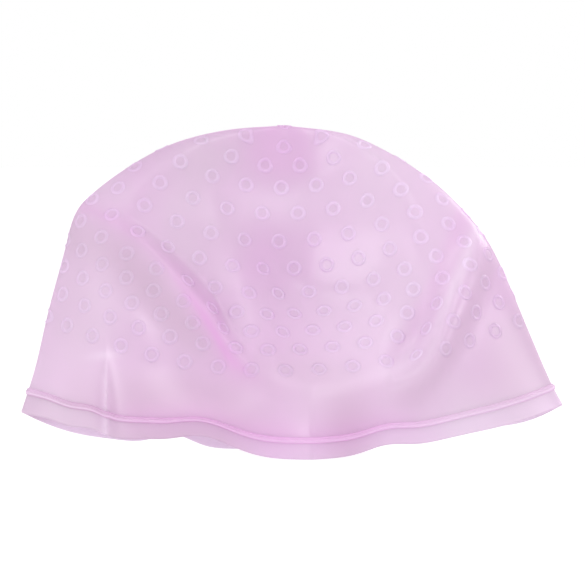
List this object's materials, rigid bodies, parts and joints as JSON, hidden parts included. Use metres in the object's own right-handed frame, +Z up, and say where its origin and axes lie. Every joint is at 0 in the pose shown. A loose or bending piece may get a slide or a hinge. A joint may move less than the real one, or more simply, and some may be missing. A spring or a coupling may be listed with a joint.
{
  "type": "highlighting cap",
  "caption": "Soft translucent pink silicone hair highlighting cap, standing crown up with its front dished in, rows of small raised pull-through rings, a plain side band and a beaded, wavy hem.",
  "frame": {"origin": "middle of the cap's footprint, on the surface that the hem stands on", "axes": "+Z up from the hem to the top of the crown; -Y is the dished front face of the flattened cap; +X to the right seen from the front, along the cap's width"},
  "size_m": [0.2821, 0.1082, 0.171],
  "materials": {
    "silicone": "satin, translucent"
  },
  "bodies": {
    "root": {"crown_front": "silicone", "crown_back": "silicone", "side_band": "silicone", "hem_bead": "silicone", "hem_lip": "silicone", "ring_row_01": "silicone", "ring_row_02": "silicone", "ring_row_03": "silicone", "ring_row_04": "silicone", "ring_row_05": "silicone", "ring_row_06": "silicone", "ring_row_07": "silicone", "ring_row_08": "silicone", "ring_row_09": "silicone", "ring_row_10": "silicone", "ring_row_11": "silicone", "ring_row_12": "silicone"}
  },
  "joints": []
}
